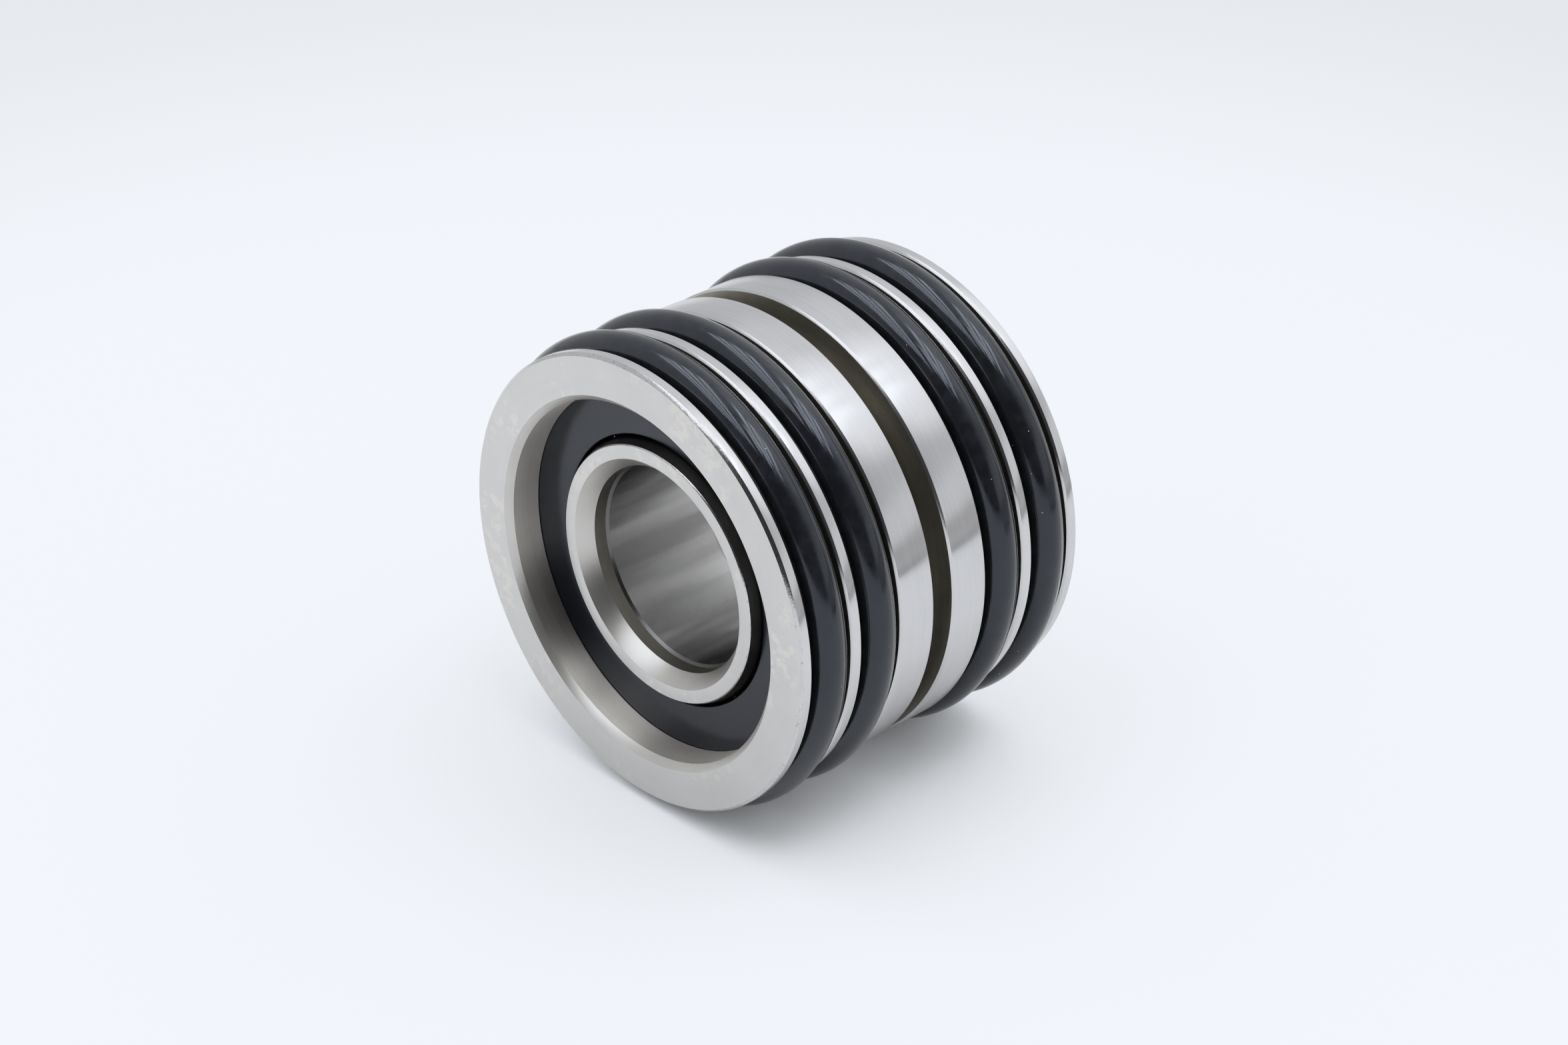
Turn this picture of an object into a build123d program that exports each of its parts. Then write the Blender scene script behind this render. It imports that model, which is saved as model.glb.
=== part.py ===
from build123d import *
import math
import os

# Sealed double-row angular contact ball bearing. Its outer ring seats in a housing on four O-rings.
# The axis is Y, the front face looks to -Y, and the origin is at the middle of the width, on the axis.
# A section is drawn in the XY plane, with X as the radius, and revolved about Y.
# A side of -1 is the front half and +1 is the rear half, which mirrors it.

# ---- Driving dimensions, millimetres and degrees ----
bore_r = 10.0  # ground bore of the inner rings
land_r = 22.5  # ground lands of the outer ring
outer_half = 17.75  # half the outer ring's width
inner_half = 15.0  # width of one inner ring half, from mid width to its end face

# Balls and raceways
ball_r = 3.0
ball_count = 12
pitch_r = 14.9
row_offset = 7.5  # each row of balls, from mid width
contact_angle = 30.0
race_r = 3.15  # 52.5% of the ball's diameter
race_clearance = 0.03
half_ball_pitch = 180.0 / ball_count  # degrees
first_ball_angle = {-1: 0.5 * half_ball_pitch, 1: 1.5 * half_ball_pitch}  # rows stand half a pitch apart

# Outer ring
end_land_w = 1.35
oring_groove_w = 4.8
narrow_land_w = 1.3
centre_groove_w = 2.4
oring_groove_r = 19.8
centre_groove_r = 19.0
outer_shoulder_r = 16.1  # between the rows
open_shoulder_r = 17.5  # outboard of each row
seal_seat_r = 18.35
seal_seat_inner = 12.35
seal_seat_outer = 14.05
recess_r = 17.85
mouth_r = 18.48
mouth_depth = 0.65
end_chamfer = 0.3
edge_break = 0.2
floor_fillet = 0.3

# Inner ring halves
inner_shoulder_r = 13.2
middle_shoulder_r = 12.15
lead_in_rise = 0.4  # a long shallow cone that the seal lip slides over during assembly
lead_in_length = 1.3
nose_bore_r = 11.4
relief_r = 10.25
relief_outer = 13.55
relief_inner = 12.2

# O-rings
oring_section_r = 1.775
oring_floor_gap = 0.01
oring_set_back = 0.2  # each ring lies this far towards the rear of its groove

# Cages
cage_in_r = 13.75
cage_out_r = 15.85
cage_half_w = 4.0
pocket_r = 3.1
pocket_depth = 6.0  # each pocket is drilled straight through, towards the bearing's axis
cage_fillet = 0.25

# Seals
seal_face = 14.0
seal_back = 13.1
seal_rim_r = 18.3
seal_rim_in_r = 17.5
seal_rim_back = 12.4
seal_eye_r = 13.4
seal_eye_depth = 0.5
seal_eye_round = 0.2
lip_r = 13.3
lip_outer = 12.7
lip_root_r = 14.3
lip_thickness = 0.25
insert_in_r = 14.5
insert_out_r = 17.45
insert_flange_in_r = 17.1
insert_flange_back = 12.45
insert_thickness = 0.35

# ---- Places worked out from the driving dimensions ----
groove_1_start = outer_half - end_land_w
groove_1_end = groove_1_start - oring_groove_w
groove_2_start = groove_1_end - narrow_land_w
groove_2_end = groove_2_start - oring_groove_w
oring_grooves = [(groove_1_start, groove_1_end), (groove_2_start, groove_2_end)]
oring_centre_r = oring_groove_r + oring_floor_gap + oring_section_r

# A raceway's centre lies past the ball's centre, back along the contact line.
race_shift = race_r - ball_r - race_clearance
race_shift_r = race_shift * math.cos(math.radians(contact_angle))
race_shift_y = race_shift * math.sin(math.radians(contact_angle))


def band(r_from, r_to, y_from, y_to, mode=Mode.ADD):
    """Adds or cuts a rectangle of the open section."""
    with Locations(((r_from + r_to) / 2, (y_from + y_to) / 2)):
        Rectangle(abs(r_to - r_from), abs(y_to - y_from), mode=mode)


def outline(points, mode=Mode.ADD):
    """Adds or cuts a straight-sided outline of the open section."""
    Polygon(*points, align=None, mode=mode)


def corners(section, places):
    """The section's corners at the given places."""
    return [section.vertices().sort_by_distance((r, y, 0))[0] for r, y in places]


# ---- Outer ring ----
with BuildPart() as outer_ring:
    with BuildSketch(Plane.XY) as section:
        band(outer_shoulder_r, land_r, -outer_half, outer_half)
        band(centre_groove_r, land_r, -centre_groove_w / 2, centre_groove_w / 2, Mode.SUBTRACT)
        for side in (-1, 1):
            for start, end in oring_grooves:
                band(oring_groove_r, land_r, side * start, side * end, Mode.SUBTRACT)
            # Raceway, and the open shoulder beside it
            with Locations((pitch_r - race_shift_r, side * (row_offset + race_shift_y))):
                Circle(race_r, mode=Mode.SUBTRACT)
            band(outer_shoulder_r, open_shoulder_r, side * row_offset, side * seal_seat_inner, Mode.SUBTRACT)
            # Seal seat, and the recess with its chamfered mouth
            band(outer_shoulder_r, seal_seat_r, side * seal_seat_inner, side * seal_seat_outer, Mode.SUBTRACT)
            band(outer_shoulder_r, recess_r, side * seal_seat_outer, side * outer_half, Mode.SUBTRACT)
            mouth = [
                (recess_r, side * (outer_half - mouth_depth)),
                (mouth_r, side * outer_half),
                (recess_r, side * outer_half),
            ]
            outline(mouth, Mode.SUBTRACT)
        floors = [(centre_groove_r, side * centre_groove_w / 2) for side in (-1, 1)]
        edges = [(land_r, side * centre_groove_w / 2) for side in (-1, 1)]
        for side in (-1, 1):
            for groove in oring_grooves:
                floors += [(oring_groove_r, side * y) for y in groove]
                edges += [(land_r, side * y) for y in groove]
        fillet(corners(section, floors), floor_fillet)
        chamfer(corners(section, edges), edge_break)
        chamfer(corners(section, [(land_r, -outer_half), (land_r, outer_half)]), end_chamfer)
    revolve(axis=Axis.Y)


# ---- Inner ring halves ----
def make_inner_ring(side):
    with BuildPart() as inner_ring:
        with BuildSketch(Plane.XY) as section:
            band(bore_r, inner_shoulder_r, 0, side * inner_half)
            band(middle_shoulder_r, inner_shoulder_r, 0, side * row_offset, Mode.SUBTRACT)
            with Locations((pitch_r + race_shift_r, side * (row_offset - race_shift_y))):
                Circle(race_r, mode=Mode.SUBTRACT)
            # The nose is bored out: a wide chamfer, then a relief, then the ground bore.
            nose = [
                (bore_r, side * inner_half),
                (nose_bore_r, side * inner_half),
                (relief_r, side * relief_outer),
                (relief_r, side * relief_inner),
                (bore_r, side * (relief_inner - (relief_r - bore_r))),
            ]
            outline(nose, Mode.SUBTRACT)
            lead_in = [
                (inner_shoulder_r - lead_in_rise, side * inner_half),
                (inner_shoulder_r, side * inner_half),
                (inner_shoulder_r, side * (inner_half - lead_in_length)),
            ]
            outline(lead_in, Mode.SUBTRACT)
        revolve(axis=Axis.Y)
    return inner_ring.part


# ---- Balls: each one is a separate piece, in a frame whose X axis points away from the bearing's axis ----
def ball_frames(side):
    frames = []
    for number in range(ball_count):
        angle = first_ball_angle[side] + 2 * half_ball_pitch * number
        x = pitch_r * math.cos(math.radians(angle))
        z = -pitch_r * math.sin(math.radians(angle))
        frames.append(Location((x, side * row_offset, z), (0, angle, 0)))
    return frames


def make_ball(frame):
    with BuildPart() as ball:
        with Locations(frame):
            Sphere(ball_r)
    return ball.part


# ---- Cages: the section is drawn where a bar is, half way between two pockets ----
def make_cage(side):
    bar_angle = first_ball_angle[side] + half_ball_pitch
    with BuildPart() as cage:
        with BuildSketch(Plane.XY.rotated((0, bar_angle, 0))) as section:
            y_in = side * (row_offset - cage_half_w)
            y_out = side * (row_offset + cage_half_w)
            band(cage_in_r, cage_out_r, y_in, y_out)
            fillet(section.vertices(), cage_fillet)
        revolve(axis=Axis.Y)
        with Locations(*ball_frames(side)):
            Cylinder(pocket_r, pocket_depth, rotation=(0, 90, 0), mode=Mode.SUBTRACT)
    return cage.part


# ---- O-rings ----
def make_oring(y_mid):
    with BuildPart() as oring:
        with BuildSketch(Plane.XY):
            with Locations((oring_centre_r, y_mid + oring_set_back)):
                Circle(oring_section_r)
        revolve(axis=Axis.Y)
    return oring.part


# ---- Seals: a rubber disc with a rim, an eye and a lip, stiffened by a steel insert ----
def make_seal(side):
    with BuildPart() as seal:
        with BuildSketch(Plane.XY) as section:
            disc = [
                (seal_eye_r, seal_face),
                (seal_rim_r, seal_face),
                (seal_rim_r, seal_rim_back),
                (seal_rim_in_r, seal_rim_back),
                (seal_rim_in_r, seal_back),
                (lip_root_r, seal_back),
                (lip_r + lip_thickness, seal_rim_back),
                (lip_r, seal_rim_back),
                (lip_r, lip_outer),
                (seal_eye_r, seal_face - seal_eye_depth),
            ]
            outline([(r, side * y) for r, y in disc])
            fillet(corners(section, [(seal_eye_r, side * seal_face)]), seal_eye_round)
        revolve(axis=Axis.Y)
    return seal.part


def make_insert(side):
    with BuildPart() as insert:
        with BuildSketch(Plane.XY):
            band(insert_in_r, insert_out_r, side * (seal_back - insert_thickness), side * seal_back)
            band(insert_flange_in_r, insert_out_r, side * insert_flange_back, side * seal_back)
        revolve(axis=Axis.Y)
    return insert.part


# ---- The pieces and their names ----
pieces = {"outer_ring": outer_ring.part}
for side, row in ((-1, "front"), (1, "rear")):
    pieces[f"inner_ring_{row}"] = make_inner_ring(side)
    pieces[f"cage_{row}"] = make_cage(side)
    pieces[f"seal_{row}"] = make_seal(side)
    pieces[f"seal_insert_{row}"] = make_insert(side)
    for (start, end), place in zip(oring_grooves, ("outer", "inner")):
        pieces[f"o_ring_{row}_{place}"] = make_oring(side * (start + end) / 2)
    for number, frame in enumerate(ball_frames(side), start=1):
        pieces[f"ball_{row}_{number:02d}"] = make_ball(frame)

os.makedirs("parts", exist_ok=True)
for name, piece in pieces.items():
    piece.label = name
    export_step(piece, f"parts/{name}.step")
print(len(pieces), "pieces written")
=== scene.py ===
import math

import bpy
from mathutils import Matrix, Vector


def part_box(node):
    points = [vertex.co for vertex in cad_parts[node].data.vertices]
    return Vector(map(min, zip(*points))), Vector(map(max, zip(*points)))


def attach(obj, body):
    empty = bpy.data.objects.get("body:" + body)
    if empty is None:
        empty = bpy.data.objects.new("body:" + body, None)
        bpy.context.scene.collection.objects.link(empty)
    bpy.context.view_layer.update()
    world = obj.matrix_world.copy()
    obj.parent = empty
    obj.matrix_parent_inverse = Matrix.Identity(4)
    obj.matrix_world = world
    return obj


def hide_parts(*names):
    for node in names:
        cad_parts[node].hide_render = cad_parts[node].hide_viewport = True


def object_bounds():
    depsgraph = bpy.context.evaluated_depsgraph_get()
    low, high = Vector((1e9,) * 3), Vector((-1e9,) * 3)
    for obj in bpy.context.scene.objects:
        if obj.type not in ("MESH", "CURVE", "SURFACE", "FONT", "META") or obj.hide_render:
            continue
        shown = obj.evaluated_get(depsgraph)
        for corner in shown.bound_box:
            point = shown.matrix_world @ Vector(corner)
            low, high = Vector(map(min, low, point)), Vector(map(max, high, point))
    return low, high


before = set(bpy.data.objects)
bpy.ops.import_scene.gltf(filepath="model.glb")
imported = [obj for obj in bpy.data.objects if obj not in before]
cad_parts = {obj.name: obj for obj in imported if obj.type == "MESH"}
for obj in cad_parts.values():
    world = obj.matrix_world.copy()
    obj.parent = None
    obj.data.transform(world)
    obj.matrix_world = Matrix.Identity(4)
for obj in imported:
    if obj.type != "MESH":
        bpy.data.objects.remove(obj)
cad_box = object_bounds()

# Sealed double-row angular contact bearing. The axis is Y, the front face looks to -Y, and the origin is
# at the middle of the width, on the axis. A ring's section is a list of runs: a material name and a line
# of (radius, y) points in millimetres. A side of -1 is the front half and +1 is the rear half.

MM = 0.001


def low(node, axis):
    """The lowest coordinate of a CAD node along an axis, in millimetres."""
    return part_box(node)[0][axis] / MM


def high(node, axis):
    """The highest coordinate of a CAD node along an axis, in millimetres."""
    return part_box(node)[1][axis] / MM


# ---- Sizes read from the frame ----
land_r = high("outer_ring", 0)
outer_half = high("outer_ring", 1)
inner_shoulder_r = high("inner_ring_front", 0)
inner_half = high("inner_ring_rear", 1)
oring_r = (high("o_ring_rear_outer", 1) - low("o_ring_rear_outer", 1)) / 2
oring_centre_r = high("o_ring_rear_outer", 0) - oring_r
seal_rim_r = high("seal_rear", 0)
seal_face = high("seal_rear", 1)
seal_rim_back = low("seal_rear", 1)
floor_z = cad_box[0].z

# ---- Outer ring section ----
end_land_w = 1.35
oring_groove_w = 4.8
narrow_land_w = 1.3
centre_groove_w = 2.4
oring_groove_r = 19.8
centre_groove_r = 19.0
outer_shoulder_r = 16.1
open_shoulder_r = 17.5
seal_seat_r = 18.35
seal_seat_inner = 12.35
seal_seat_outer = 14.05
recess_r = 17.85
mouth_r = 18.48
mouth_depth = 0.65
end_chamfer = 0.3
edge_break = 0.2
floor_fillet = 0.3

# ---- Raceways ----
pitch_r = 14.9
row_offset = 7.5
contact_angle = math.radians(30)
race_r = 3.15
race_shift = 0.12
race_shift_r = race_shift * math.cos(contact_angle)
race_shift_y = race_shift * math.sin(contact_angle)

# ---- Inner ring section ----
bore_r = 10.0
middle_shoulder_r = 12.15
lead_in_rise = 0.4  # a long shallow cone that the seal lip slides over during assembly
lead_in_length = 1.3
nose_break = 0.12  # the nose's outer edge, rubbed bright
nose_bore_r = 11.4
relief_r = 10.25
relief_outer = 13.55
relief_inner = 12.2

# ---- Seal section ----
seal_back = 13.1
seal_rim_in_r = 17.5
seal_eye_r = 13.4
seal_eye_depth = 0.5
seal_eye_round = 0.2
lip_r = 13.3
lip_outer = 12.7
lip_root_r = 14.3
lip_thickness = 0.25

# ---- O-ring section: a flat where the moulding flash was trimmed, with a fine groove at each side of it ----
seam_centre = 20.5  # degrees round the section from its crest, towards the rear
seam_half = 10.5
seam_groove = 1.6
seam_depth = 0.035

# ---- Mesh ----
ring_steps = 288  # faces round each turned piece
race_steps = 18
oring_steps = 64
fillet_steps = 6
corner_r = 0.035  # every turned corner is broken this much
corner_share = 0.3  # but by no more than this share of the straights beside it
corner_turn = math.radians(20)  # the least turn that counts as a corner
sharp_turn = math.radians(17)


# ---- Node helpers ----
class Nodes:
    """A node tree with short ways to add and link nodes."""

    def __init__(self, tree):
        self.tree = tree

    def feed(self, socket, value):
        if isinstance(value, bpy.types.NodeSocket):
            self.tree.links.new(value, socket)
        else:
            socket.default_value = value

    def node(self, kind, inputs=None, **settings):
        added = self.tree.nodes.new(kind)
        for key, value in settings.items():
            setattr(added, key, value)
        for key, value in (inputs or {}).items():
            self.feed(added.inputs[key], value)
        return added

    def math(self, operation, a, b=0.0, clamp=False):
        return self.node("ShaderNodeMath", {0: a, 1: b}, operation=operation, use_clamp=clamp).outputs[0]

    def remap(self, value, from_low, from_high, to_low=0.0, to_high=1.0):
        """A smooth step from to_low to to_high."""
        sockets = {"Value": value, "From Min": from_low, "From Max": from_high}
        sockets.update({"To Min": to_low, "To Max": to_high})
        return self.node("ShaderNodeMapRange", sockets, interpolation_type="SMOOTHSTEP").outputs["Result"]

    def mix(self, factor, a, b, blend="MIX"):
        """Mixes two colours."""
        mixer = self.node("ShaderNodeMix", data_type="RGBA", blend_type=blend)
        for index, value in ((0, factor), (6, a), (7, b)):
            self.feed(mixer.inputs[index], value)
        return mixer.outputs[2]

    def is_seen_straight(self):
        """1 for what the camera sees directly, and 0 in reflections and for bounced light."""
        return self.node("ShaderNodeLightPath").outputs["Is Camera Ray"]


class Shader(Nodes):
    """A new material and its surface shader. Its point is the place in the CAD frame, in millimetres."""

    def __init__(self, name):
        self.material = bpy.data.materials.new(name)
        self.material.use_nodes = True
        super().__init__(self.material.node_tree)
        self.bsdf = self.tree.nodes["Principled BSDF"]
        metres = self.node("ShaderNodeTexCoord").outputs["Object"]
        scaled = self.node("ShaderNodeVectorMath", {0: metres, "Scale": 1 / MM}, operation="SCALE")
        self.point = scaled.outputs[0]

    def set(self, **values):
        """Sets or links the surface shader's sockets, with _ for a space in their names."""
        for key, value in values.items():
            self.feed(self.bsdf.inputs[key.replace("_", " ")], value)

    def noise(self, scale, detail=2.0, roughness=0.5, vector=None):
        sockets = {"Vector": vector or self.point, "Scale": scale, "Detail": detail, "Roughness": roughness}
        return self.node("ShaderNodeTexNoise", sockets).outputs["Fac"]

    def drawn(self, x, y, z):
        """The place scaled along each axis. Noise on it is drawn out where the scale is small."""
        return self.node("ShaderNodeMapping", {"Vector": self.point, "Scale": (x, y, z)}).outputs[0]

    def round_lines(self, pitch, length):
        """Noise drawn out into lines that run round the axis: pitch across them, length along them."""
        axis_share = 0.83  # y counts too, so that the lines show on faces, bores and lands alike
        x, y, z = self.node("ShaderNodeSeparateXYZ", {0: self.point}).outputs
        squares = self.math("ADD", self.math("MULTIPLY", x, x), self.math("MULTIPLY", z, z))
        across = self.math("ADD", self.math("SQRT", squares), self.math("MULTIPLY", y, axis_share))
        sockets = {
            "X": self.math("DIVIDE", x, length),
            "Y": self.math("DIVIDE", across, pitch),
            "Z": self.math("DIVIDE", z, length),
        }
        vector = self.node("ShaderNodeCombineXYZ", sockets).outputs[0]
        return self.noise(1.0, detail=3.0, roughness=0.6, vector=vector)

    def bump(self, height, depth, strength=1.0):
        """A normal from a height, with the depth in millimetres."""
        sockets = {"Height": height, "Distance": depth * MM, "Strength": strength}
        return self.node("ShaderNodeBump", sockets).outputs[0]

    def turned_metal(self, colour, roughness, anisotropy):
        """Metal whose reflections are drawn out across lines that run round the axis."""
        tangent = self.node("ShaderNodeTangent", direction_type="RADIAL", axis="Y").outputs[0]
        self.set(Base_Color=colour, Metallic=1.0, Roughness=roughness)
        self.set(Anisotropic=anisotropy, Anisotropic_Rotation=0.25, Tangent=tangent)


def grey(level, tint=(1.0, 1.0, 1.0)):
    return tuple(level * t for t in tint) + (1.0,)


# ---- Materials of the rings ----
def round_steel(name, colour, roughness, anisotropy, pitch, depth, streak, mottle):
    """Steel cut or ground round the axis, with lines of the given pitch and depth in millimetres.
    Streak is the lines' share in the shade, and mottle is that of large soft patches."""
    s = Shader(name)
    lines = s.round_lines(pitch, 9.0)
    coarse_lines = s.round_lines(pitch * 4.5, 16.0)
    patches = s.noise(0.22, detail=3.0)
    line_tone = s.remap(lines, 0.3, 0.7, 1 - streak, 1 + streak)
    patch_tone = s.remap(patches, 0.3, 0.7, -mottle, mottle)
    s.colour = s.mix(1.0, colour, s.math("ADD", line_tone, patch_tone), blend="MULTIPLY")
    s.roughness = s.remap(coarse_lines, 0.25, 0.75, roughness * 0.95, roughness * 1.05)
    s.turned_metal(s.colour, s.roughness, anisotropy)
    s.set(Normal=s.bump(lines, depth))
    return s


def ground_land():
    """The wide lands of the ground outer diameter: bright satin, with fine lines round it."""
    return round_steel(
        "ground_land", grey(0.52, (0.995, 1, 1.03)), roughness=0.2, anisotropy=0.92,
        pitch=0.2, depth=0.0004, streak=0.03, mottle=0.02,
    ).material


def narrow_land():
    """The narrow lands beside the O-rings, a little glossier."""
    return round_steel(
        "narrow_land", grey(0.53, (0.995, 1, 1.03)), roughness=0.18, anisotropy=0.6,
        pitch=0.2, depth=0.0004, streak=0.03, mottle=0.02,
    ).material


def ground_face():
    """A ground end face, with a thin dried film of preservative oil on it."""
    s = round_steel(
        "ground_face", grey(0.54, (1.0, 0.992, 0.985)), roughness=0.38, anisotropy=0.3,
        pitch=0.25, depth=0.0006, streak=0.012, mottle=0.02,
    )
    curds = s.remap(s.noise(0.75, detail=5.0, roughness=0.62), 0.51, 0.62)
    area = s.remap(s.noise(0.13, detail=1.0), 0.46, 0.62)
    film = s.math("MULTIPLY", curds, area, clamp=True)
    creamy = s.mix(s.math("MULTIPLY", film, 0.75), s.colour, grey(0.72, (1.0, 0.965, 0.9)))
    s.set(Base_Color=creamy, Roughness=s.math("ADD", s.roughness, s.math("MULTIPLY", film, 0.12)))
    return s.material


def turned_face():
    """Turned and hardened steel that was never ground: warm grey satin."""
    return round_steel(
        "turned_face", grey(0.575, (1.0, 0.96, 0.905)), roughness=0.43, anisotropy=0.85,
        pitch=0.25, depth=0.001, streak=0.02, mottle=0.04,
    ).material


def chamfer_steel():
    """The wide chamfers, glossier than the turned faces."""
    return round_steel(
        "chamfer_steel", grey(0.51, (1.0, 0.98, 0.95)), roughness=0.37, anisotropy=0.5,
        pitch=0.25, depth=0.001, streak=0.02, mottle=0.03,
    ).material


def edge_steel():
    """The small chamfers on the rings' outer edges: polished by handling, and nicked."""
    s = round_steel(
        "edge_steel", grey(0.5, (1.0, 0.985, 1.0)), roughness=0.14, anisotropy=0.3,
        pitch=0.1, depth=0.0005, streak=0.05, mottle=0.05,
    )
    nicks = s.noise(2.4, detail=4.0, roughness=0.7)
    s.set(Base_Color=s.mix(s.remap(nicks, 0.56, 0.66, 0.0, 0.6), s.colour, grey(0.16, (1.0, 0.93, 1.05))))
    s.set(Normal=s.bump(nicks, 0.02, strength=0.8))
    return s.material


def dark_steel():
    """Groove walls and floors, with the dark olive film of heat treatment."""
    return round_steel(
        "dark_steel", grey(0.3, (1.0, 0.955, 0.85)), roughness=0.38, anisotropy=0.3,
        pitch=0.3, depth=0.002, streak=0.05, mottle=0.09,
    ).material


def bore_steel():
    """The ground bore: its lines are too fine to show. Faint bands along it are painted reflections in its
    colour, and they vary its roughness a little.
    """
    s = Shader("bore_steel")
    painted_reflection_streaks = s.remap(s.noise(0.5, vector=s.drawn(1.0, 0.06, 1.0)), 0.35, 0.65)
    # painted reflections: lighter and darker bands along the bore
    colour = s.mix(painted_reflection_streaks, grey(0.44), grey(0.54, (1.0, 0.995, 0.99)))
    s.turned_metal(colour, s.remap(painted_reflection_streaks, 0.0, 1.0, 0.2, 0.24), 0.95)
    return s.material


def relief_edge():
    """The narrow cone where the unground relief meets the bore: dark steel, made darker still with painted
    shade for the shade it lies in.
    """
    return round_steel(
        "relief_edge", grey(0.13, (0.98, 0.97, 1.0)), roughness=0.3, anisotropy=0.5,
        pitch=0.3, depth=0.001, streak=0.03, mottle=0.05,
    ).material


def lip_track():
    """The cone beside each seal lip, near black: painted shade for the deep dark gap beside the seal."""
    return round_steel(
        "lip_track", grey(0.05, (0.97, 0.97, 1.0)), roughness=0.3, anisotropy=0.4,
        pitch=0.25, depth=0.001, streak=0.05, mottle=0.2,
    ).material


def raceway_steel():
    """Honed raceways and the shoulders inside the bearing, wet with oil."""
    return round_steel(
        "raceway_steel", grey(0.58, (1.0, 0.98, 0.95)), roughness=0.16, anisotropy=0.5,
        pitch=0.07, depth=0.0008, streak=0.03, mottle=0.03,
    ).material


# ---- Other materials ----
def oring_rubber():
    """Black nitrile rubber: smooth moulded skin with faint smears and a little dust."""
    s = Shader("oring_rubber")
    smear = s.noise(0.7, detail=4.0, roughness=0.65)
    cell = s.node("ShaderNodeTexVoronoi", {"Vector": s.point, "Scale": 0.85, "Randomness": 1.0}).outputs
    in_speck = s.math("LESS_THAN", cell["Distance"], 0.05)
    cell_number = s.node("ShaderNodeSeparateColor", {0: cell["Color"]}).outputs[0]
    dust = s.math("MULTIPLY", in_speck, s.math("GREATER_THAN", cell_number, 0.7))
    black = s.mix(s.remap(smear, 0.35, 0.7), (0.0055, 0.006, 0.0078, 1), (0.0095, 0.0105, 0.013, 1))
    s.set(Base_Color=s.mix(s.math("MULTIPLY", dust, 0.6), black, grey(0.5)))
    s.set(Roughness=s.remap(smear, 0.3, 0.75, 0.1, 0.2), IOR=1.5, Specular_Tint=(0.8, 0.87, 1.0, 1))
    s.set(Normal=s.bump(s.noise(14.0, detail=3.0, roughness=0.6), 0.0006, strength=0.5))
    return s.material


def seal_rubber():
    """The seals' matt rubber face."""
    s = Shader("seal_rubber")
    grain = s.noise(9.0, detail=4.0, roughness=0.7)
    cloud = s.noise(0.5, detail=3.0)
    s.set(Base_Color=s.mix(cloud, (0.0025, 0.003, 0.0048, 1), (0.0045, 0.0052, 0.0078, 1)))
    s.set(Roughness=s.remap(grain, 0.3, 0.7, 0.17, 0.22), Normal=s.bump(grain, 0.003, strength=0.5))
    s.set(Specular_Tint=(0.76, 0.84, 1.0, 1), Specular_IOR_Level=0.37)
    return s.material


def ball_steel():
    """Lapped balls, with a trace of oil."""
    s = Shader("ball_steel")
    oil = s.noise(0.9, detail=3.0)
    s.set(Base_Color=s.mix(oil, grey(0.62, (1, 0.99, 0.97)), grey(0.68)), Metallic=1.0)
    s.set(Roughness=s.remap(oil, 0.35, 0.7, 0.05, 0.12), Normal=s.bump(s.noise(3.0), 0.0006))
    return s.material


def insert_steel():
    """Pressed sheet steel inside the seals."""
    s = Shader("insert_steel")
    grain = s.noise(1.5, detail=4.0, vector=s.drawn(0.3, 3.0, 6.0))
    s.set(Base_Color=s.mix(grain, grey(0.4, (1, 0.98, 0.95)), grey(0.5)), Metallic=1.0)
    s.set(Roughness=s.remap(grain, 0.3, 0.7, 0.3, 0.45), Normal=s.bump(grain, 0.003))
    return s.material


def cage_polyamide():
    """Moulded cages: ivory polyamide with short glass fibres."""
    s = Shader("cage_polyamide")
    fleck = s.noise(2.6, detail=5.0, roughness=0.7, vector=s.drawn(1.0, 7.0, 1.0))
    s.set(Base_Color=s.mix(s.remap(fleck, 0.35, 0.65), (0.58, 0.5, 0.36, 1), (0.7, 0.63, 0.49, 1)))
    s.set(Roughness=s.remap(fleck, 0.3, 0.7, 0.38, 0.5), Normal=s.bump(fleck, 0.008))
    s.set(Subsurface_Weight=0.15, Subsurface_Scale=0.4 * MM, Subsurface_Radius=(1.0, 0.7, 0.4))
    return s.material


makers = (
    ground_land, narrow_land, ground_face, turned_face, chamfer_steel, edge_steel, dark_steel, bore_steel,
    relief_edge, lip_track, raceway_steel,
    oring_rubber, seal_rubber, ball_steel, insert_steel, cage_polyamide,
)
materials = {maker.__name__: maker() for maker in makers}


# ---- Sections ----
def arc(centre, radius, start, end, steps):
    """Points on an arc in the section, from one angle to another. Angle 0 points away from the axis."""
    angles = [math.radians(start + (end - start) * i / steps) for i in range(steps + 1)]
    return [(centre[0] + radius * math.cos(a), centre[1] + radius * math.sin(a)) for a in angles]


def mirrored(runs):
    """The same runs on the other side of mid width, in the order that carries the loop on."""
    return [(name, [(r, -y) for r, y in reversed(points)]) for name, points in reversed(runs)]


def loop_edges(runs):
    """Joins runs into one closed loop, with each corner between straight edges broken."""
    points, names = [], []
    for name, line in runs:
        for point in line[:-1]:
            points.append(Vector(point))
            names.append(name)
    count = len(points)
    out_points, out_names = [], []
    for i in range(count):
        here = points[i]
        back = points[i - 1] - here
        on = points[(i + 1) % count] - here
        turn = math.pi - back.angle(on)
        if turn < corner_turn:
            out_points.append(here)
            out_names.append(names[i])
            continue
        cut = min(corner_r * math.tan(turn / 2), back.length * corner_share, on.length * corner_share)
        first = here + back.normalized() * cut
        last = here + on.normalized() * cut
        middle = (first + last) / 4 + here / 2
        out_points += [first, middle, last]
        out_names += [names[i - 1], names[i], names[i]]
    return out_points, out_names


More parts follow.
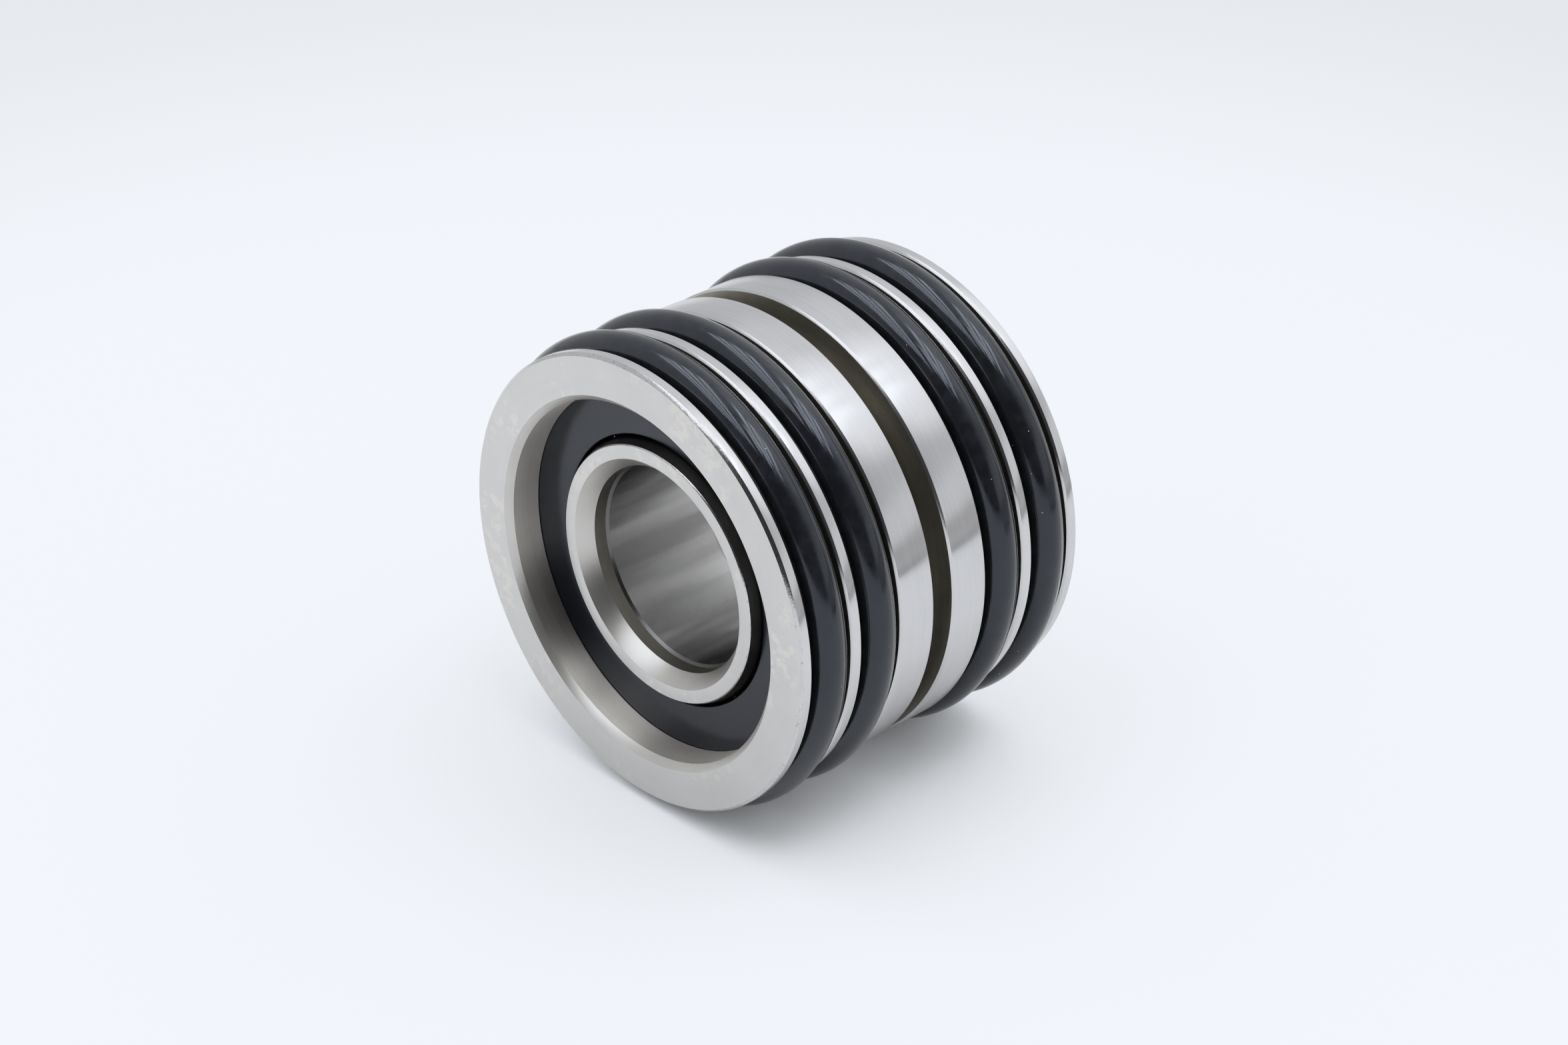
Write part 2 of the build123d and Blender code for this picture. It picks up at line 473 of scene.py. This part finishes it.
def lathe(name, runs, body, slot, *nodes):
    """Turns a closed section round Y, and stands for the named CAD nodes."""
    points, names = loop_edges(runs)
    used = sorted(set(names))
    count = len(points)
    vertices, faces, slots = [], [], []
    for step in range(ring_steps):
        angle = 2 * math.pi * step / ring_steps
        across = math.sin(angle)
        up = math.cos(angle)
        vertices += [(p[0] * across * MM, p[1] * MM, p[0] * up * MM) for p in points]
    for step in range(ring_steps):
        here = step * count
        there = (step + 1) % ring_steps * count
        for i in range(count):
            j = (i + 1) % count
            faces.append((here + i, here + j, there + j, there + i))
            slots.append(used.index(names[i]))
    mesh = bpy.data.meshes.new(name)
    mesh.from_pydata(vertices, [], faces)
    mesh.polygons.foreach_set("material_index", slots)
    for key in used:
        mesh.materials.append(materials[key])
    mesh.shade_smooth()
    mesh.set_sharp_from_angle(angle=sharp_turn)
    mesh.update()
    piece = bpy.data.objects.new(name, mesh)
    bpy.context.scene.collection.objects.link(piece)
    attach(piece, body)
    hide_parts(*nodes)


# ---- Outer ring ----
def groove_side(start, floor_r):
    """The rear side of a groove in the outer diameter: its broken edge, its wall and its fillet."""
    fillet_r = floor_r + floor_fillet
    return [
        ("ground_land", [(land_r, start + edge_break), (land_r - edge_break, start)]),
        ("dark_steel", [(land_r - edge_break, start), (fillet_r, start)]),
        ("dark_steel", arc((fillet_r, start - floor_fillet), floor_fillet, 90, 180, fillet_steps)),
    ]


def groove(start, end, floor_r):
    """One groove in the outer diameter, from y = start down to y = end."""
    floor_line = [(floor_r, start - floor_fillet), (floor_r, end + floor_fillet)]
    return [
        *groove_side(start, floor_r),
        ("dark_steel", floor_line),
        *mirrored(groove_side(-end, floor_r)),
    ]


def outer_ring():
    """The rear half's runs go from the inside at mid width round to the middle groove's floor. Then the
    same runs mirrored, for the front half, close the loop."""
    race_centre_r = pitch_r - race_shift_r
    race_centre = (race_centre_r, row_offset + race_shift_y)
    race_start = math.degrees(math.asin((outer_shoulder_r - race_centre_r) / race_r)) - 90
    race_end = math.degrees(math.acos((open_shoulder_r - race_centre_r) / race_r))
    race = arc(race_centre, race_r, race_start, race_end, race_steps)
    mouth_start = outer_half - mouth_depth
    groove_1_start = outer_half - end_land_w
    groove_1_end = groove_1_start - oring_groove_w
    groove_2_start = groove_1_end - narrow_land_w
    groove_2_end = groove_2_start - oring_groove_w
    middle_start = centre_groove_w / 2
    half = [
        ("raceway_steel", [(outer_shoulder_r, 0), race[0]]),
        ("raceway_steel", race),
        ("raceway_steel", [race[-1], (open_shoulder_r, seal_seat_inner)]),
        ("turned_face", [(open_shoulder_r, seal_seat_inner), (seal_seat_r, seal_seat_inner)]),
        ("turned_face", [(seal_seat_r, seal_seat_inner), (seal_seat_r, seal_seat_outer)]),
        ("turned_face", [(seal_seat_r, seal_seat_outer), (recess_r, seal_seat_outer)]),
        ("turned_face", [(recess_r, seal_seat_outer), (recess_r, mouth_start)]),
        ("chamfer_steel", [(recess_r, mouth_start), (mouth_r, outer_half)]),
        ("ground_face", [(mouth_r, outer_half), (land_r - end_chamfer, outer_half)]),
        ("edge_steel", [(land_r - end_chamfer, outer_half), (land_r, outer_half - end_chamfer)]),
        ("narrow_land", [(land_r, outer_half - end_chamfer), (land_r, groove_1_start + edge_break)]),
        *groove(groove_1_start, groove_1_end, oring_groove_r),
        ("narrow_land", [(land_r, groove_1_end - edge_break), (land_r, groove_2_start + edge_break)]),
        *groove(groove_2_start, groove_2_end, oring_groove_r),
        ("ground_land", [(land_r, groove_2_end - edge_break), (land_r, middle_start + edge_break)]),
        *groove_side(middle_start, centre_groove_r),
        ("dark_steel", [(centre_groove_r, middle_start - floor_fillet), (centre_groove_r, 0)]),
    ]
    lathe("bearing_outer_ring", half + mirrored(half), "outer", "ring_steel", "outer_ring")


# ---- Inner ring halves ----
def inner_ring(side, row):
    race_centre_r = pitch_r + race_shift_r
    race_centre = (race_centre_r, row_offset - race_shift_y)
    race_start = 180 + math.degrees(math.acos((race_centre_r - middle_shoulder_r) / race_r))
    race_end = 180 - math.degrees(math.acos((race_centre_r - inner_shoulder_r) / race_r))
    race = arc(race_centre, race_r, race_start, race_end, race_steps)
    relief_end = relief_inner - (relief_r - bore_r)
    lead_in_start = inner_half - lead_in_length
    nose_r = inner_shoulder_r - lead_in_rise
    runs = [
        ("raceway_steel", [(bore_r, 0), (middle_shoulder_r, 0)]),
        ("raceway_steel", [(middle_shoulder_r, 0), race[0]]),
        ("raceway_steel", race),
        ("raceway_steel", [race[-1], (inner_shoulder_r, lead_in_start)]),
        # the lead-in cone beside the seal lip is painted near black, as shade
        ("lip_track", [(inner_shoulder_r, lead_in_start), (nose_r, inner_half - nose_break)]),
        ("edge_steel", [(nose_r, inner_half - nose_break), (nose_r - nose_break, inner_half)]),
        ("ground_face", [(nose_r - nose_break, inner_half), (nose_bore_r, inner_half)]),
        ("chamfer_steel", [(nose_bore_r, inner_half), (relief_r, relief_outer)]),
        ("dark_steel", [(relief_r, relief_outer), (relief_r, relief_inner)]),
        ("relief_edge", [(relief_r, relief_inner), (bore_r, relief_end)]),
        ("bore_steel", [(bore_r, relief_end), (bore_r, 0)]),
    ]
    if side < 0:
        runs = mirrored(runs)
    lathe(f"bearing_inner_ring_{row}", runs, "inner", "ring_steel", f"inner_ring_{row}")


# ---- O-rings ----
def oring(row, place):
    node = f"o_ring_{row}_{place}"
    y_mid = (low(node, 1) + high(node, 1)) / 2
    section = []
    for offset, depth in (
        (-seam_half - seam_groove, 0), (-seam_half - seam_groove / 2, seam_depth), (-seam_half, 0),
        (seam_half, 0), (seam_half + seam_groove / 2, seam_depth), (seam_half + seam_groove, 0),
    ):
        angle = math.radians(seam_centre + offset)
        radius = oring_r - depth
        section.append((oring_centre_r + radius * math.cos(angle), y_mid + radius * math.sin(angle)))
    seam_end = seam_centre + seam_half + seam_groove
    next_seam = 360 + seam_centre - seam_half - seam_groove
    section += arc((oring_centre_r, y_mid), oring_r, seam_end, next_seam, oring_steps)[1:]
    lathe(f"bearing_{node}", [("oring_rubber", section)], "outer", "o_ring_rubber", node)


# ---- Seals ----
def seal(side, row):
    eye_centre = (seal_eye_r + seal_eye_round, seal_face - seal_eye_round)
    eye = arc(eye_centre, seal_eye_round, 180, 90, fillet_steps)
    section = [
        *eye,
        (seal_rim_r, seal_face),
        (seal_rim_r, seal_rim_back),
        (seal_rim_in_r, seal_rim_back),
        (seal_rim_in_r, seal_back),
        (lip_root_r, seal_back),
        (lip_r + lip_thickness, seal_rim_back),
        (lip_r, seal_rim_back),
        (lip_r, lip_outer),
        (seal_eye_r, seal_face - seal_eye_depth),
        eye[0],
    ]
    runs = [("seal_rubber", section)]
    if side < 0:
        runs = mirrored(runs)
    lathe(f"bearing_seal_{row}", runs, "outer", "seal_rubber", f"seal_{row}")


outer_ring()
for side, row in ((-1, "front"), (1, "rear")):
    inner_ring(side, row)
    seal(side, row)
    for place in ("outer", "inner"):
        oring(row, place)

# ---- CAD nodes that stay ----
kept_nodes = (("ball_", "ball_steel"), ("cage_", "cage_polyamide"), ("seal_insert_", "insert_steel"))
for name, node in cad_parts.items():
    for start, material in kept_nodes:
        if name.startswith(start):
            node.data.materials.clear()
            node.data.materials.append(materials[material])


# ---- Camera: fitted to the photo ----
def direction(azimuth, elevation):
    """A unit vector, with the azimuth from +Y towards +X. Angles are in radians."""
    level = math.cos(elevation)
    return Vector((math.sin(azimuth) * level, math.cos(azimuth) * level, math.sin(elevation)))


camera_azimuth = math.radians(180 - 46.78)
camera_elevation = math.radians(30.03)
camera_distance = 353.8 * MM
camera_aim = Vector((0.718, 0.566, -0.230)) * MM
camera_back = direction(camera_azimuth, camera_elevation)
camera_data = bpy.data.cameras.new("camera")
camera_data.lens = 86.02
camera_data.sensor_width = 36
camera_data.clip_start = 0.01
camera_data.clip_end = 20
camera = bpy.data.objects.new("camera", camera_data)
camera.location = camera_aim + camera_back * camera_distance
camera.rotation_euler = (-camera_back).to_track_quat("-Z", "Y").to_euler()
bpy.context.scene.collection.objects.link(camera)
bpy.context.scene.camera = camera

# ---- Floor ----
floor_size = 8.0
near_white = grey(0.95, (0.982, 1.0, 1.018))  # as the camera sees it
far_white = grey(0.68)
bounced_white = grey(0.73)  # as the light and the steel see it
white_near = 110  # millimetres from the bearing's middle
white_far = 210


def stage_plane(name, width, depth, shader):
    mesh = bpy.data.meshes.new(name)
    x = width / 2
    y = depth / 2
    mesh.from_pydata([(-x, -y, 0), (x, -y, 0), (x, y, 0), (-x, y, 0)], [], [(0, 1, 2, 3)])
    mesh.materials.append(shader.material)
    plane = bpy.data.objects.new(name, mesh)
    bpy.context.scene.collection.objects.link(plane)
    return plane


paper = Shader("floor_paper")
# The floor that the camera sees is painted brighter near the bearing than the floor that lights the steel,
# and fades to far_white further out: a painted pool of light.
from_middle = paper.node("ShaderNodeVectorMath", {0: paper.point}, operation="LENGTH").outputs["Value"]
seen_white = paper.mix(paper.remap(from_middle, white_near, white_far), near_white, far_white)
paper.set(Base_Color=paper.mix(paper.is_seen_straight(), bounced_white, seen_white))
paper.set(Roughness=0.6, Specular_IOR_Level=0.2)
floor = stage_plane("floor", floor_size, floor_size, paper)
floor.location.z = floor_z

# ---- What lies past the table's far edge, seen only in the polished steel ----
edge_azimuth = math.radians(51)
edge_distance = 0.185
edge_width = 0.32
edge_height = 0.106
edge_levels = (  # share of the height, and radiance: a dark gap low down, a dim band, then the room
    (0.0, 0.18), (0.14, 0.7), (0.25, 0.6), (0.33, 0.62), (0.45, 1.06), (0.75, 1.06), (1.0, 0.88),
)

beyond = Shader("beyond_table")
card_place = beyond.node("ShaderNodeTexCoord").outputs["Generated"]
card_axes = beyond.node("ShaderNodeSeparateXYZ", {0: card_place}).outputs
ramp = beyond.node("ShaderNodeValToRGB", {0: card_axes[1]})
ramp.color_ramp.interpolation = "EASE"
while len(ramp.color_ramp.elements) < len(edge_levels):
    ramp.color_ramp.elements.new(1.0)
for stop, (height, level) in zip(ramp.color_ramp.elements, edge_levels):
    stop.position = height
    stop.color = grey(level)
from_card_middle = beyond.math("ABSOLUTE", beyond.math("SUBTRACT", card_axes[0], 0.5))
beyond.set(Base_Color=grey(0), Specular_IOR_Level=0.0)
beyond.set(Emission_Color=ramp.outputs[0], Emission_Strength=1.0)
beyond.set(Alpha=beyond.remap(from_card_middle, 0.25, 0.5, 1.0, 0.0))
table_edge = stage_plane("table_edge", edge_width, edge_height, beyond)
table_edge.rotation_euler = (math.pi / 2, 0, -edge_azimuth)
table_edge.location = direction(edge_azimuth, 0) * edge_distance
table_edge.location.z = floor_z + edge_height / 2
table_edge.visible_camera = False
table_edge.visible_diffuse = False
table_edge.visible_shadow = False

# ---- Light: three overhead panels of parallel strips, and soft fill low down all round ----
panel_height = 0.6
panel_turn = math.radians(34)  # from the strips' length to +Y
strip_width = 0.055
strip_gap = 0.06
strip_radiance = 5.6
panels = (  # name, x and y as shares of the height, strip length, and the strips' places in the row
    ("left", -0.15, -0.45, 0.66, (-2, -1, 0, 1)),
    ("right", 0.4, 0.2, 0.46, (-1, 0, 1)),
    ("front", 0.42, -0.23, 0.25, (-0.5, 0.5)),
)
light_colour = (0.96, 0.98, 1.0)
fill_count = 6
fill_distance = 0.7
fill_elevation = math.radians(25)
fill_size = 0.5
fill_radiance = 1.0


def soft_light(name, place, turn, width, length, radiance):
    data = bpy.data.lights.new(name, "AREA")
    data.shape = "RECTANGLE"
    data.size = width
    data.size_y = length
    data.energy = radiance * math.pi * width * length
    data.color = light_colour
    lamp = bpy.data.objects.new(name, data)
    lamp.location = place
    lamp.rotation_euler = turn
    bpy.context.scene.collection.objects.link(lamp)
    return lamp


for name, x, y, length, places in panels:
    for number, place in enumerate(places, start=1):
        across = direction(math.pi / 2 - panel_turn, 0) * place * (strip_width + strip_gap)
        middle = Vector((x, y, 1)) * panel_height + across
        soft_light(f"strip_{name}_{number}", middle, (0, 0, panel_turn), strip_width, length, strip_radiance)

for number in range(fill_count):
    away = direction(2 * math.pi * number / fill_count, fill_elevation)
    turn = away.to_track_quat("Z", "Y").to_euler()
    fill = soft_light(f"fill_{number + 1}", away * fill_distance, turn, fill_size, fill_size, fill_radiance)
    fill.visible_glossy = False

# ---- World: an even white tent, dark where it is open towards the camera and brighter overhead ----
tent_level = 0.84
tent_tint = (0.98, 0.99, 1.0, 1)
backdrop_colour = (0.86, 0.89, 0.94, 1)
tent_lobes = (  # azimuth, elevation, inner and outer radius in degrees, and the radiance added
    (135, 15, 25, 75, -0.78),
    (20, 52, 14, 30, 0.7),
    (-10, 55, 10, 50, 0.3),
)


def tent():
    world = bpy.data.worlds.new("tent")
    bpy.context.scene.world = world
    world.use_nodes = True
    nodes = Nodes(world.node_tree)
    ray = nodes.node("ShaderNodeTexCoord").outputs["Generated"]
    level = tent_level
    for azimuth, elevation, inner, outer, amount in tent_lobes:
        aim = tuple(direction(math.radians(azimuth), math.radians(elevation)))
        product = nodes.node("ShaderNodeVectorMath", {0: ray, 1: aim}, operation="DOT_PRODUCT")
        facing = product.outputs["Value"]
        outer_edge = math.cos(math.radians(outer))
        inner_edge = math.cos(math.radians(inner))
        level = nodes.math("ADD", level, nodes.remap(facing, outer_edge, inner_edge, 0.0, amount))
    room = nodes.mix(1.0, tent_tint, level, blend="MULTIPLY")
    backdrop = nodes.mix(nodes.is_seen_straight(), room, backdrop_colour)
    nodes.feed(nodes.tree.nodes["Background"].inputs["Color"], backdrop)


tent()

# ---- Camera response: straight in the darks, with a soft shoulder in the lights, highest in the blue ----
shoulders = (0.996, 1.03, 1.09)  # the level that each colour comes up to
softness = 2.4
brightest = 2.4
curve_steps = 12


def response(light, shoulder):
    return light / (1 + (light / shoulder) ** softness) ** (1 / softness)


view = bpy.context.scene.view_settings
view.view_transform = "Standard"
view.use_curve_mapping = True
view.curve_mapping.white_level = (brightest,) * 3
for curve, shoulder in zip(view.curve_mapping.curves, shoulders):
    curve.points[1].location = (1.0, response(brightest, shoulder))
    for step in range(1, curve_steps):
        curve.points.new(step / curve_steps, response(brightest * step / curve_steps, shoulder))
view.curve_mapping.update()
